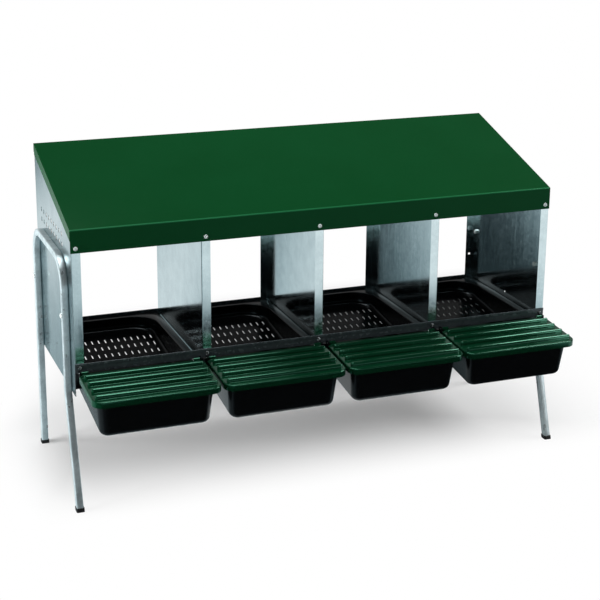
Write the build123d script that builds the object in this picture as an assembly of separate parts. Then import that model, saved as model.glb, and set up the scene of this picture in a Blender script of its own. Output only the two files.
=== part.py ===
from build123d import *
import os
from math import cos, hypot, pi, radians, sin, sqrt, tan

# Free-standing row of hen nests with egg trays that slope to the front. Sizes are in millimetres.
# +X runs along the row, -Y is the front with the egg lids, +Z is up from the floor.

# Row and panels
nest_count = 4
nest_pitch = 280.0
panel_depth = 365.0
panel_front_top = 611.0
panel_below_rim = 44.0
roof_rise = 108.0
sheet = 1.0
fold_radius = 1.0
flange_width = 20.0
corner_relief = 3.0

# Vent slots and fixing holes of the end panels
vent_rows = 2
vent_pitch = 27.0
vent_row_gap = 23.0
vent_width = 5.0
vent_height = 11.0
vent_from_front = 88.0
vent_from_rear = 60.0
vent_below_top = 52.0
wall_hole_radius = 3.0
wall_hole_above_rim = 62.0
link_hole_radius = 2.5
link_hole_above_rim = 14.0
link_hole_from_front = 185.0

# Roof sheet
lip_height = 50.0
end_flange_height = 18.0
rear_flange_height = 20.0
corner_gap = 3.0

# Front bar and rear rail, strips with a folded upper edge
bar_above_rim = 10.0
bar_height = 20.0
rail_height = 30.0
rail_above_rim = 6.0
hem_height = 5.0
hem_radius = 0.9

# Nest trays
rim_height = 290.0
rim_thickness = 2.5
rim_side = 16.0
rim_rear = 20.0
rim_collector = 7.0
tray_side_gap = 1.5
tray_rear_gap = 0.5
tray_wall = 2.5
tray_draft = 5.0
basin_rear_radius = 60.0
basin_front_radius = 24.0
basin_floor_radius = 10.0
floor_edge_steps = 2
collector_depth = 69.0
floor_slope = 7.0
tab_thickness = 3.0
tab_top_gap = 2.0
tab_height = 34.0
tab_side_gap = 0.5

# Floor slots
slot_pitch_x = 15.5
slot_pitch_y = 35.0
slot_length = 20.0
slot_width = 3.0
slot_from_rear = 55.0
slot_from_bar = 160.0
slot_edge_margin = 2.0

# Tray runners
runner_width = 12.0
runner_height = 12.0
runner_setback = 12.0

# Egg lids and their hinges
lid_gap = 6.0
lid_depth = 147.5
lid_slope = 3.8
lid_plate = 2.5
lid_edge = 1.2
lid_skirt = 11.0
lid_skirt_gap = 2.8
lid_wall = 2.2
lid_rest_gap = 0.2
lid_corner_radius = 22.0
lid_rear_chamfer = 14.0
rib_count = 4
rib_pitch = 33.3
rib_from_rear = 26.5
rib_side_inset = 8.0
rib_width = 13.0
rib_height = 8.5
rib_end_slope = 3.0
hinge_setback = 13.0
hinge_above_lid = 1.1
pin_radius = 1.5
pin_clearance = 0.05
knuckle_wall = 2.0
knuckle_length = 15.0
ear_thickness = 4.0
ear_gap = 0.5
ear_bar_gap = 4.0

# Leg frames of square tube
tube = 15.0
tube_bevel = 2.0
tube_wall = 1.2
frame_below_top = 71.0
frame_bend = 62.0
front_leg_from_front = 45.0
rear_leg_from_front = 346.0
kink_height = 250.0
kink_bend = 45.0
foot_forward = 81.0
cap_wall = 1.3
cap_floor = 3.0
cap_height = 8.5
cap_clearance = 0.1

# Fasteners, drawn with a few flat sides, as are their holes
fastener_sides = 8
screw_radius = 2.0
screw_clearance = 0.2
screw_head_radius = 4.0
screw_crown_radius = 2.6
screw_head = 2.4
screw_length = 9.0
screw_from_lip_edge = 10.0
bolt_radius = 3.0
bolt_clearance = 0.3
bolt_head_radius = 6.5
bolt_crown_radius = 4.0
bolt_head = 4.0
bolt_below_frame = 125.0
bolt_past_nut = 1.5
nut_flats = 10.0
nut_height = 5.0
nut_clearance = 0.05

# Row, panels and strips, worked out from the sizes above
row_half = nest_count * nest_pitch / 2
lid_angle = radians(lid_slope)
lid_reach = hinge_setback + lid_depth * cos(lid_angle) - (hinge_above_lid + lid_edge) * sin(lid_angle)
rear_reach = panel_depth + sheet + screw_head
front = (lid_reach - rear_reach) / 2
rear = front + panel_depth
panel_bottom = rim_height - panel_below_rim
bar_bottom = rim_height + bar_above_rim
rail_bottom = rim_height + rail_above_rim - rail_height
lip_bottom = panel_front_top + sheet - lip_height
roof_slope = roof_rise / panel_depth
roof_thickness_up = sheet * sqrt(1 + roof_slope**2)
lip_screw_height = lip_bottom + screw_from_lip_edge
bar_screw_height = bar_bottom + bar_height / 2
rail_screw_height = rail_bottom + rail_height / 2
screw_hole = screw_radius + screw_clearance

# Lids and hinges. A lid is drawn level with its hinge axis on X, then tilted to rest on the rim's front.
lid_half = (nest_pitch - lid_gap) / 2
lid_top = -hinge_above_lid
lid_under = lid_top - lid_plate
rim_front = front - lid_reach + lid_wall + lid_skirt_gap
hinge_y = front - hinge_setback
lid_rise = (hinge_y - rim_front) * tan(lid_angle)
hinge_height = rim_height + lid_rest_gap + lid_rise - lid_under / cos(lid_angle)
knuckle_radius = pin_radius + knuckle_wall
ear_outer = lid_half - lid_wall - ear_gap
ear_inner = ear_outer - ear_thickness
knuckle_outer = ear_inner - ear_gap
knuckle_inner = knuckle_outer - knuckle_length

# Trays. The floor plane holds the sloping floor, with its own Z square to the floor.
tray_half = nest_pitch / 2 - sheet - tray_side_gap
tray_rear = rear - sheet - tray_rear_gap
tab_rear = front + sheet + fold_radius
tab_top = bar_bottom - tab_top_gap
rim_under = rim_height - rim_thickness
basin_half = tray_half - rim_side
basin_rear = tray_rear - rim_rear
basin_front = rim_front + rim_collector
slope_angle = radians(floor_slope)
flare = tan(radians(tray_draft))
floor_plane = Plane(
    origin=(0, front, rim_height - collector_depth),
    x_dir=(1, 0, 0),
    z_dir=(0, -sin(slope_angle), cos(slope_angle)),
)
rim_at_front = floor_plane.to_local_coords(Vector(0, basin_front, rim_height))
rim_at_rear = floor_plane.to_local_coords(Vector(0, basin_rear, rim_height))
rim_at_bar = floor_plane.to_local_coords(Vector(0, front, rim_height))
floor_half = basin_half - flare * rim_at_bar.Z
floor_front = rim_at_front.Y + flare * rim_at_front.Z
floor_rear = rim_at_rear.Y - flare * rim_at_rear.Z
floor_front_radius = basin_front_radius - flare * rim_at_front.Z
floor_rear_radius = basin_rear_radius - flare * rim_at_rear.Z

# Legs
frame_x = row_half + tube / 2
frame_top = panel_front_top - frame_below_top
front_leg = front + front_leg_from_front
rear_leg = front + rear_leg_from_front
bolt_height = frame_top - bolt_below_frame
foot_lean = foot_forward / kink_height


def panel_x(i):
    """Plane of panel i, counted from the left end."""
    return (i - nest_count / 2) * nest_pitch


def panel_facing(i):
    """Side to which panel i folds its flanges: the left half of the row to +X, the rest to -X."""
    return 1 if i < nest_count / 2 else -1


def nest_x(k):
    """Middle of nest k."""
    return panel_x(k) + nest_pitch / 2


def screw_x(i):
    """Middle of the flanges of panel i."""
    return panel_x(i) + panel_facing(i) * flange_width / 2


def roof_under(y):
    """Height of the underside of the roof at depth y."""
    return panel_front_top + roof_slope * (y - front)


def polygon(*points):
    """Flat face with straight edges."""
    return make_face(Polyline(*points, close=True))


def along_x(face, x0, x1):
    """Solid with a section in Y and Z, from x0 to x1."""
    return extrude(Plane.YZ.offset(x0) * face, amount=x1 - x0)


def along_y(face, y0, y1):
    """Solid with a section in X and Z, from y0 to y1."""
    return extrude(Plane.XZ.offset(-y0) * face, amount=y0 - y1)


def block(x0, x1, y0, y1, z0, z1):
    """Box between two corners."""
    return Pos((x0 + x1) / 2, (y0 + y1) / 2, (z0 + z1) / 2) * Box(abs(x1 - x0), abs(y1 - y0), abs(z1 - z0))


def rod_x(x0, x1, y, z, radius):
    """Round bar along X."""
    return Pos((x0 + x1) / 2, y, z) * Rot(0, 90, 0) * Cylinder(radius, abs(x1 - x0))


def rod_y(x, y0, y1, z, radius):
    """Round bar along Y."""
    return Pos(x, (y0 + y1) / 2, z) * Rot(90, 0, 0) * Cylinder(radius, abs(y1 - y0))


def fastener_section(radius):
    """Flat-sided section of a fastener or its hole, with a given distance to the flats."""
    return RegularPolygon(radius, fastener_sides, major_radius=False)


def fastener_hole_x(x0, x1, y, z, radius):
    """Hole for a bolt along X."""
    return Pos(x0, y, z) * Rot(0, 90, 0) * extrude(fastener_section(radius), amount=x1 - x0)


def fastener_hole_y(x, y0, y1, z, radius):
    """Hole for a screw along Y."""
    return Pos(x, y0, z) * Rot(-90, 0, 0) * extrude(fastener_section(radius), amount=y1 - y0)


def folded(*points):
    """Section of a folded sheet, drawn along the middle of its thickness."""
    return trace(FilletPolyline(*points, radius=fold_radius + sheet / 2), line_width=sheet)


def roof():
    """Sloping sheet with a front lip, a rear flange and end flanges that leave the front corners open."""
    rise = roof_thickness_up / 2
    line_front, line_rear = front - sheet / 2, rear + sheet / 2
    rear_top = roof_under(line_rear) + rise
    section = folded(
        (line_front, lip_bottom),
        (line_front, roof_under(line_front) + rise),
        (line_rear, rear_top),
        (line_rear, rear_top - rear_flange_height),
    )
    body = along_x(section, -row_half - sheet, row_half + sheet)
    y0, y1 = front + corner_gap, rear - corner_gap
    flange = polygon(
        (y0, roof_under(y0) - end_flange_height),
        (y1, roof_under(y1) - end_flange_height),
        (y1, roof_under(y1) + rise),
        (y0, roof_under(y0) + rise),
    )
    for side in (-1, 1):
        body += along_x(flange, side * row_half, side * (row_half + sheet))
    for i in range(nest_count + 1):
        body -= fastener_hole_y(screw_x(i), front - 2 * sheet, front + sheet, lip_screw_height, screw_hole)
    return body


def panel(i):
    """Upright sheet with folded front and rear edges. The end panels have vents and holes."""
    x, facing = panel_x(i), panel_facing(i)
    section = folded(
        (x + facing * flange_width, front + sheet / 2),
        (x + facing * sheet / 2, front + sheet / 2),
        (x + facing * sheet / 2, rear - sheet / 2),
        (x + facing * flange_width, rear - sheet / 2),
    )
    body = extrude(Pos(0, 0, panel_bottom) * section, amount=roof_under(rear) - panel_bottom)
    y0, y1 = front + corner_relief, rear - corner_relief
    side_view = polygon(
        (front, panel_bottom),
        (rear, panel_bottom),
        (rear, roof_under(y1) - corner_relief),
        (y1, roof_under(y1) - corner_relief),
        (y1, roof_under(y1)),
        (y0, roof_under(y0)),
        (y0, roof_under(front) - corner_relief),
        (front, roof_under(front) - corner_relief),
    )
    body &= along_x(side_view, x - flange_width, x + flange_width)
    body -= block(x - flange_width, x + flange_width, front, tab_rear, panel_bottom, bar_bottom)
    for z in (lip_screw_height, bar_screw_height):
        body -= fastener_hole_y(screw_x(i), front - sheet, front + 2 * sheet, z, screw_hole)
    body -= fastener_hole_y(screw_x(i), rear - 2 * sheet, rear + sheet, rail_screw_height, screw_hole)
    if i in (0, nest_count):
        body -= end_panel_openings(i)
    return body


def end_panel_openings(i):
    """Vent slots, leg bolt holes, wall hole and link hole of an end panel."""
    x = panel_x(i)
    x0, x1 = x - 2 * sheet, x + 2 * sheet
    vent_columns = 1 + int((panel_depth - vent_from_front - vent_from_rear) / vent_pitch)
    cuts = []
    for row in range(vent_rows):
        for column in range(vent_columns):
            y = front + vent_from_front + column * vent_pitch
            z = panel_front_top - vent_below_top + row * vent_row_gap
            cuts.append(Pos(x, y, z) * Box(x1 - x0, vent_width, vent_height))
    for y in (front_leg, rear_leg):
        cuts.append(fastener_hole_x(x0, x1, y, bolt_height, bolt_radius + bolt_clearance))
    link_height = rim_height + link_hole_above_rim
    cuts.append(rod_x(x0, x1, front + link_hole_from_front, link_height, link_hole_radius))
    wall_height = rim_height + wall_hole_above_rim
    cuts.append(rod_y(screw_x(i), rear - 2 * sheet, rear + sheet, wall_height, wall_hole_radius))
    return cuts


def hemmed_strip(y, outward, bottom, height):
    """Strip along the row against plane y, with its upper edge folded double on the outer side."""
    top = bottom + height
    section = polygon(
        (y, bottom),
        (y, top),
        (y + outward * 2 * sheet, top),
        (y + outward * 2 * sheet, top - hem_height),
        (y + outward * sheet, top - hem_height),
        (y + outward * sheet, bottom),
    )
    section = fillet(section.vertices().group_by(Axis.Y)[-1], hem_radius)
    body = along_x(section, -row_half, row_half)
    for i in range(nest_count + 1):
        body -= fastener_hole_y(screw_x(i), y - 2 * sheet, y + 2 * sheet, bottom + height / 2, screw_hole)
    return body


def tray_outline(half, y_rear, y_front, rear_radius, front_radius):
    """Plan of a tray opening: large corners at the rear and small ones at the front."""
    right, left = (1, -1)
    corners = [
        (right, y_front + front_radius, front_radius),
        (right, y_rear - rear_radius, rear_radius),
        (left, y_rear - rear_radius, rear_radius),
        (left, y_front + front_radius, front_radius),
    ]
    arcs = []
    for quarter, (side, y, radius) in enumerate(corners):
        arcs.append(CenterArc((side * (half - radius), y), radius, 90 * quarter - 90, 90))
    lines = [Line(arcs[n - 1] @ 1, arcs[n] @ 0) for n in range(len(arcs))]
    return make_face(arcs + lines)


def basin(wall, top):
    """Flaring basin on the sloping floor up to a level top, grown outwards and below by a wall.

    Outlines square to the floor follow its rounded edge in steps and then flare up past the rim.
    """
    radius = basin_floor_radius + wall
    rings = []
    for step in range(floor_edge_steps + 1):
        turn = pi / 2 * step / floor_edge_steps
        rings.append((basin_floor_radius - radius * cos(turn), wall - radius * (1 - sin(turn))))
    rings.append((rim_at_front.Z + top - rim_height + tray_wall, wall))
    outlines = []
    for height, out in rings:
        out += flare * max(height, 0)
        outline = tray_outline(
            floor_half + out,
            floor_rear + out,
            floor_front - out,
            floor_rear_radius + out,
            floor_front_radius + out,
        )
        outlines.append(floor_plane * Pos(0, 0, height) * outline)
    return split(loft(outlines, ruled=True), bisect_by=Plane.XY.offset(top), keep=Keep.BOTTOM)


def tray_rim():
    """Flat rim round the basin: wide inside the nest, narrow round the collector."""
    inside = Pos(0, (tab_rear + tray_rear) / 2) * Rectangle(2 * tray_half, tray_rear - tab_rear)
    collector = tray_outline(
        basin_half + rim_collector,
        tab_rear,
        rim_front,
        rim_thickness,
        basin_front_radius + rim_collector,
    )
    return extrude(Pos(0, 0, rim_under) * (inside + collector), amount=rim_thickness)


def side_tab(side):
    """Upright tab that closes the gap in front of a panel, with an ear under the bar for a hinge pin."""
    tab_front = tab_rear - tab_thickness
    tab_outer = nest_pitch / 2 - tab_side_gap
    body = block(side * floor_half, side * tab_outer, tab_front, tab_rear, tab_top - tab_height, tab_top)
    ear_front, ear_rear = hinge_y - knuckle_radius, front - ear_bar_gap
    ear_top = hinge_height + knuckle_radius
    ear = polygon(
        (ear_front, rim_under),
        (tab_rear, rim_under),
        (tab_rear, tab_top),
        (ear_rear, tab_top),
        (ear_rear, ear_top),
        (ear_front, ear_top),
    )
    return body + along_x(ear, side * ear_inner, side * ear_outer)


def floor_slots():
    """Slots in straight columns in the rear part of the tray floor."""
    flat_half = floor_half - basin_floor_radius - slot_edge_margin
    columns = 1 + int((2 * flat_half - slot_width) / slot_pitch_x)
    first = floor_rear - slot_from_rear
    rows = 1 + int((first - slot_from_bar) / slot_pitch_y)
    slots = []
    for column in range(columns):
        for row in range(rows):
            x = (column - (columns - 1) / 2) * slot_pitch_x
            place = floor_plane * Pos(x, first - row * slot_pitch_y, 0)
            slots.append(place * Box(slot_width, slot_length, 3 * tray_wall))
    return slots


def nest_tray():
    """Moulded tray in one piece: rim, basin, slotted floor, collector, tabs and hinge ears."""
    body = basin(tray_wall, rim_height) + tray_rim()
    for side in (-1, 1):
        body += side_tab(side)
    body -= basin(0, tab_top + tray_wall)
    body -= floor_slots()
    for side in (-1, 1):
        x0, x1 = side * (ear_inner - ear_gap), side * (ear_outer + ear_gap)
        body -= rod_x(x0, x1, hinge_y, hinge_height, pin_radius + pin_clearance)
    return body


def lid_rib(y):
    """Upright rib along the lid, with a round crown and sloping ends."""
    y0, y1 = y - rib_width / 2, y + rib_width / 2
    root = lid_top - lid_plate / 2
    crown = lid_top + rib_height
    shoulder = crown - rib_width / 2
    arc = ThreePointArc((y0, shoulder), (y, crown), (y1, shoulder))
    sides = Polyline((y1, shoulder), (y1, root), (y0, root), (y0, shoulder))
    half = lid_half - rib_side_inset
    body = along_x(make_face([arc, sides]), -half, half)
    ends = polygon((-half, root), (half, root), (half, lid_top), (half - rib_end_slope, crown),
                   (-half + rib_end_slope, crown), (-half, lid_top))
    return body & along_y(ends, y0, y1)


def egg_lid():
    """Ribbed lid with a skirt on three sides, chamfered rear corners and two knuckles."""
    bottom = lid_under - lid_skirt
    outline = polygon(
        (-lid_half, -lid_depth),
        (lid_half, -lid_depth),
        (lid_half, -lid_rear_chamfer),
        (lid_half - lid_rear_chamfer, 0),
        (-lid_half + lid_rear_chamfer, 0),
        (-lid_half, -lid_rear_chamfer),
    )
    outline = fillet(outline.vertices().group_by(Axis.Y)[0], lid_corner_radius)
    body = extrude(Pos(0, 0, bottom) * outline, amount=lid_top - bottom)
    upper_edges = body.faces().sort_by(Axis.Z)[-1].edges()
    body = chamfer(upper_edges.sort_by(Axis.Y)[:-1], lid_edge)
    inside = tray_outline(
        lid_half - lid_wall,
        lid_wall,
        lid_wall - lid_depth,
        lid_wall,
        lid_corner_radius - lid_wall,
    )
    body -= extrude(Pos(0, 0, bottom) * inside, amount=lid_skirt)
    body -= block(-lid_half, lid_half, -lid_rear_chamfer, 0, bottom, lid_under)
    for k in range(rib_count):
        body += lid_rib(-rib_from_rear - k * rib_pitch)
    for side in (-1, 1):
        x0, x1 = side * knuckle_inner, side * knuckle_outer
        body += rod_x(x0, x1, 0, 0, knuckle_radius)
        body += block(x0, x1, -knuckle_radius, 0, lid_under, 0)
        body -= rod_x(x0, x1, 0, 0, pin_radius + pin_clearance)
    return body


def lid_pins(k):
    """Pair of plain pins of nest k, held in the ears of the tray and free in the knuckles of the lid."""
    pins = []
    for side in (-1, 1):
        x0, x1 = nest_x(k) + side * knuckle_inner, nest_x(k) + side * ear_outer
        pins.append(rod_x(x0, x1, hinge_y, hinge_height, pin_radius))
    return Compound(children=pins)


def tray_runners(k):
    """Two small angles on the panels of nest k, under the rim of its tray."""
    runners = []
    for i, side in ((k, 1), (k + 1, -1)):
        wall = panel_x(i) + (side * sheet if panel_facing(i) == side else 0)
        section = polygon(
            (wall, rim_under - runner_height),
            (wall, rim_under),
            (wall + side * runner_width, rim_under),
            (wall + side * runner_width, rim_under - sheet),
            (wall + side * sheet, rim_under - sheet),
            (wall + side * sheet, rim_under - runner_height),
        )
        runners.append(along_y(section, front + runner_setback, rear - runner_setback))
    return Compound(children=runners)


def bevelled(width, length, bevel, stretch):
    """Rectangle with cut corners, its bevels drawn out lengthwise."""
    x, y = width / 2, length / 2
    bx, by = bevel, bevel * stretch
    return polygon(
        (x, by - y), (x, y - by), (x - bx, y), (bx - x, y),
        (-x, y - by), (-x, by - y), (bx - x, -y), (x - bx, -y),
    )


def leg_frame(side):
    """Upside-down U of square tube beside an end panel, with the front leg bent forwards."""
    x = side * frame_x
    foot = front_leg - foot_lean * (kink_height + tube)
    top = frame_top - tube / 2
    path = FilletPolyline(
        (foot, -tube),
        (front_leg, kink_height),
        (front_leg, top),
        (rear_leg, top),
        (rear_leg, -tube),
        radius=[kink_bend, frame_bend, frame_bend],
    )
    path = Plane.YZ.offset(x) * path
    bore = tube - 2 * tube_wall
    section = bevelled(tube, tube, tube_bevel, 1) - Rectangle(bore, bore)
    body = sweep(Plane(origin=path @ 0, z_dir=path % 0, x_dir=(1, 0, 0)) * section, path=path)
    body = split(body, bisect_by=Plane.XY.offset(cap_floor), keep=Keep.TOP)
    for y in (front_leg, rear_leg):
        body -= fastener_hole_x(x - tube, x + tube, y, bolt_height, bolt_radius + bolt_clearance)
    return body


def foot_cap(side, at_front):
    """Moulded cup on the end of a leg, with a flat sole on the floor."""
    lean = -foot_lean if at_front else 0.0
    stretch = hypot(1, lean)
    y = front_leg - foot_forward if at_front else rear_leg

    def leaning(gap, z0, z1):
        width = tube + 2 * gap
        place = Pos(side * frame_x, y - lean * z1, z1)
        outline = place * bevelled(width, width * stretch, tube_bevel, stretch)
        return extrude(outline, amount=(z1 - z0) * stretch, dir=(0, lean, -1))

    return leaning(cap_clearance + cap_wall, 0, cap_height) - leaning(cap_clearance, cap_floor, cap_height)


def headed(shank_radius, shank, head_radius, crown_radius, head):
    """Fastener along +Z with the underside of its head at the origin."""
    body = loft([fastener_section(head_radius), Pos(0, 0, head) * fastener_section(crown_radius)])
    return body + extrude(fastener_section(shank_radius), amount=-shank)


def screw_row(y, z, outward):
    """One screw at each panel, with its head on plane y."""
    screw = headed(screw_radius, screw_length - screw_head, screw_head_radius, screw_crown_radius, screw_head)
    places = [Pos(screw_x(i), y, z) * Rot(-90 * outward, 0, 0) for i in range(nest_count + 1)]
    return Compound(children=[place * screw for place in places])


def leg_bolts():
    """Round-head bolts through the leg frames and the end panels."""
    shank = tube + sheet + nut_height + bolt_past_nut
    bolt = headed(bolt_radius, shank, bolt_head_radius, bolt_crown_radius, bolt_head)
    bolts = []
    for side in (-1, 1):
        for y in (front_leg, rear_leg):
            bolts.append(Pos(side * (row_half + tube), y, bolt_height) * Rot(0, 90 * side, 0) * bolt)
    return Compound(children=bolts)


def leg_nuts():
    """Hexagon nuts inside the end panels."""
    hexagon = RegularPolygon(nut_flats / 2, 6, major_radius=False)
    nut = extrude(hexagon - fastener_section(bolt_radius + nut_clearance), amount=nut_height)
    nuts = []
    for side in (-1, 1):
        for y in (front_leg, rear_leg):
            nuts.append(Pos(side * (row_half - sheet), y, bolt_height) * Rot(0, -90 * side, 0) * nut)
    return Compound(children=nuts)


def save(name, shape):
    """Write one piece, or one group of like pieces, under its name."""
    export_step(shape, f"parts/{name}.step")


os.makedirs("parts", exist_ok=True)

save("roof", roof())
save("end_panel_left", panel(0))
for i in range(1, nest_count):
    save(f"partition_{i}", panel(i))
save("end_panel_right", panel(nest_count))
save("front_bar", hemmed_strip(front, -1, bar_bottom, bar_height))
save("rear_rail", hemmed_strip(rear, 1, rail_bottom, rail_height))

tray, lid = nest_tray(), egg_lid()
for k in range(nest_count):
    save(f"nest_tray_{k + 1}", Pos(nest_x(k), 0, 0) * tray)
    save(f"egg_lid_{k + 1}", Pos(nest_x(k), hinge_y, hinge_height) * Rot(lid_slope, 0, 0) * lid)
    save(f"lid_pins_{k + 1}", lid_pins(k))
    save(f"tray_runners_{k + 1}", tray_runners(k))

for side, word in ((-1, "left"), (1, "right")):
    save(f"leg_frame_{word}", leg_frame(side))
    save(f"foot_cap_front_{word}", foot_cap(side, True))
    save(f"foot_cap_rear_{word}", foot_cap(side, False))

save("roof_screws", screw_row(front - sheet, lip_screw_height, -1))
save("bar_screws", screw_row(front - sheet, bar_screw_height, -1))
save("rear_screws", screw_row(rear + sheet, rail_screw_height, 1))
save("leg_bolts", leg_bolts())
save("leg_nuts", leg_nuts())
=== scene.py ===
"""Free-standing row of four hen nests: looks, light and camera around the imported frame."""
import math

import bmesh
import bpy
from mathutils import Matrix, Vector


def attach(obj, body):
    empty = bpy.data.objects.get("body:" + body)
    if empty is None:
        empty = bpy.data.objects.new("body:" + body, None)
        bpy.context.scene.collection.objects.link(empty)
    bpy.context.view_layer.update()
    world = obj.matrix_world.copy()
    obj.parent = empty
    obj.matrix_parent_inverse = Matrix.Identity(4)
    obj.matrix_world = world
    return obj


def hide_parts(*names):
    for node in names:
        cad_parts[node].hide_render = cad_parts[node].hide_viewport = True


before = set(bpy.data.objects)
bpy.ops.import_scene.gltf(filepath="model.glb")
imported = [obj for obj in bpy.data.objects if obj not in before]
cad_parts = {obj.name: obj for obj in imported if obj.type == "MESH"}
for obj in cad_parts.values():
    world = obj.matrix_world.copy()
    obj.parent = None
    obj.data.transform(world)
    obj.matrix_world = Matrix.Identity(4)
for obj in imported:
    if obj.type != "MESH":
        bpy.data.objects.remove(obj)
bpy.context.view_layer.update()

# Sizes in millimetres and angles in degrees, as the nodes of the frame have them
MM = 0.001
NESTS = (1, 2, 3, 4)
NEST_X = (-420.0, -140.0, 140.0, 420.0)
SIDES = ((-1, "left"), (1, "right"))
FRONT, REAR, END_FACE = -104.19, 260.81, 560.0
SHEET = 1.0

# Trays
RIM_TOP, RIM_THICK, RIM_EDGE = 290.0, 2.5, 0.8
TRAY_HALF, TRAY_REAR = 137.5, 259.31
TAB_REAR, TAB_THICK, TAB_OUTER = -102.19, 3.0, 139.5
TAB_LOW, TAB_TOP, TAB_EDGE = 264.0, 298.0, 0.7
BASIN_HALF, BASIN_REAR, BASIN_FRONT = 121.5, 239.31, -252.21
BASIN_EDGE, BASIN_EDGE_STEPS, BASIN_STEPS = 1.6, 4, 14
REAR_RADIUS, FRONT_RADIUS, FLOOR_RADIUS, FLOOR_STEPS = 60.0, 24.0, 10.0, 8
TRAY_WALL, TRAY_DRAFT, FLOOR_SLOPE = 2.5, 5.0, 7.0
FLOOR_AT_BAR = 221.0
COLLECTOR_RIM = 7.0
SLOT_COLUMNS, SLOT_ROWS, SLOT_STEPS = 14, 4, 5
SLOT_PITCH_X, SLOT_PITCH_Y = 15.5, 35.0
SLOT_WIDTH, SLOT_LENGTH, SLOT_FROM_REAR = 3.0, 20.0, 55.0
SLOPE = math.radians(FLOOR_SLOPE)
FLARE = math.tan(math.radians(TRAY_DRAFT))

# Lids and hinges. A lid's own heights and depths count from its hinge axis.
HINGE_Y, HINGE_Z, LID_SLOPE = -117.19, 303.24, 3.8
LID_HALF, LID_DEPTH = 137.0, 147.5
LID_TOP, LID_UNDER, LID_WALL = -1.1, -3.6, 2.2
LID_CORNER, LID_CORNER_STEPS = 22.0, 12
LID_CHAMFER, LID_CHAMFER_SOFT = 14.0, 2.0
LID_EDGE, LID_EDGE_STEPS, LID_EDGE_FLAT = 2.0, 6, 0.8
# Skirt and bare edge below the plate. The skirt ends between two distances in front of the chamfer.
LID_SKIRT, LID_BARE = 11.0, 0.1
SKIRT_FULL, SKIRT_GONE = 0.9, 0.5
SKIRT_INSET, SKIRT_LIFT = 0.5, 0.05
RIB_COUNT, RIB_PITCH, RIB_FROM_REAR = 4, 33.3, 26.5
RIB_INSET, RIB_HALF, RIB_HEIGHT, RIB_END = 7.0, 5.6, 8.5, 3.0
# Soft foot of a rib: distance out from its side and height over the lid
RIB_FOOT = ((1.4, -0.3), (0.7, 0.05), (0.2, 0.5), (0.0, 1.1))
RIB_CROWN, RIB_STEPS = 82, 10
KNUCKLE_RADIUS, KNUCKLE_EDGE, KNUCKLE_POINTS, PIN_BORE = 3.5, 0.6, 24, 1.55
KNUCKLE_INNER, KNUCKLE_OUTER = 114.8, 129.8
EAR_INNER, EAR_OUTER, EAR_REAR = 130.3, 134.2, -108.19
EAR_EDGE, EAR_IN_TAB = 0.8, 1.0

# Legs
TUBE, TUBE_CORNER, CORNER_STEPS = 15.0, 2.6, 4
FRAME_X, FRAME_TOP = 567.5, 540.0
FRONT_LEG, REAR_LEG = -59.19, 241.81
KINK_HEIGHT, KINK_BEND, FRAME_BEND, FOOT_FORWARD = 250.0, 45.0, 62.0, 81.0
BEND_STEP, BEND_STEPS_LEAST = 4, 4
CAP_FLOOR, CAP_HEIGHT, CAP_HALF, CAP_CORNER = 3.0, 8.5, 8.9, 2.8
# Inset and height of a cap's rings, from the sole over the top edge into the mouth
CAP_RINGS = (
    (0.9, 0.0),
    (0.25, 0.25),
    (0.0, 0.9),
    (0.0, CAP_HEIGHT - 0.6),
    (0.5, CAP_HEIGHT),
    (1.6, CAP_HEIGHT - 0.2),
    (1.6, CAP_HEIGHT - 2.0),
)

# Vents and roof ends, with the openings and flanges that the photo shows
VENT_COLUMNS, VENT_ROWS, VENT_STEPS = 9, 2, 8
VENT_Y, VENT_Z, VENT_PITCH, VENT_ROW_GAP = FRONT + 88.0, 559.0, 27.0, 23.0
VENT_HALF, VENT_HALF_HEIGHT, VENT_OPEN = 2.5, 5.5, 5.0
ROOF_UNDER, ROOF_SLOPE = 611.0, 108.0 / 365.0
END_FLANGE, END_FLANGE_SHOWN = 18.0, 24.0

# Painted highlight along the roof's front bend, a paler line where the bend catches light: how far it
# reaches behind the panels' front and down the lip, and the radius by which the paint rounds the folds
BEND_FULL_BEHIND, BEND_GONE_BEHIND = 1.5, 3.0
BEND_FULL_UNDER, BEND_GONE_UNDER = 0.8, 1.6
FOLD_ROUND, FOLD_SAMPLES = 1.5, 6

# Screws and bolts. The rim and recess of a head are shares of its radius and height.
SCREW_X = (-550.0, -270.0, -10.0, 270.0, 550.0)
LIP_SCREW_Z, BAR_SCREW_Z, RAIL_SCREW_Z = 572.0, 310.0, 281.0
BOLT_Z = 415.0
SCREW = {"radius": 4.6, "height": 2.4, "shank_radius": 2.0, "shank": 6.6, "recess": True}
BOLT = {"radius": 6.5, "height": 4.0, "shank_radius": 3.0, "shank": 22.5, "recess": False}
HEAD_POINTS, HEAD_RINGS, HEAD_STEP, HEAD_FALL = 32, 4, 0.18, 0.55
HEAD_RIM = ((0.86, 0.55), (0.96, 0.36), (1.0, 0.2), (1.0, 0.0))
RECESS_REACH, RECESS_HALF, RECESS_DEPTH = 0.6, 0.14, 0.35
SHANK_POINT = 0.8
SPIN_FIRST, SPIN_STEP = 0.3, 0.7

# Angles from which an edge is sharp, bevel segments, and tolerances for places on the copied meshes
SOFT_SHARP, FOLD_SHARP = 35.0, 5.0
BEVEL_SEGMENTS = 3
SEAM, ON_PLANE, NEAR, NEAR_EDGE = 0.01, 0.05, 0.1, 0.2


# Mesh helpers


def ring(bm, points):
    """Vertices at points in millimetres."""
    return [bm.verts.new(Vector(p) * MM) for p in points]


def bridge(bm, a, b):
    """Quads between two closed rings of the same length."""
    count = len(a)
    for i in range(count):
        j = (i + 1) % count
        bm.faces.new((a[i], a[j], b[j], b[i]))


def loft(bm, rings):
    """Skin through rings, in order. Returns the rings of vertices."""
    made = [ring(bm, points) for points in rings]
    for a, b in zip(made, made[1:]):
        bridge(bm, a, b)
    return made


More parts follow.
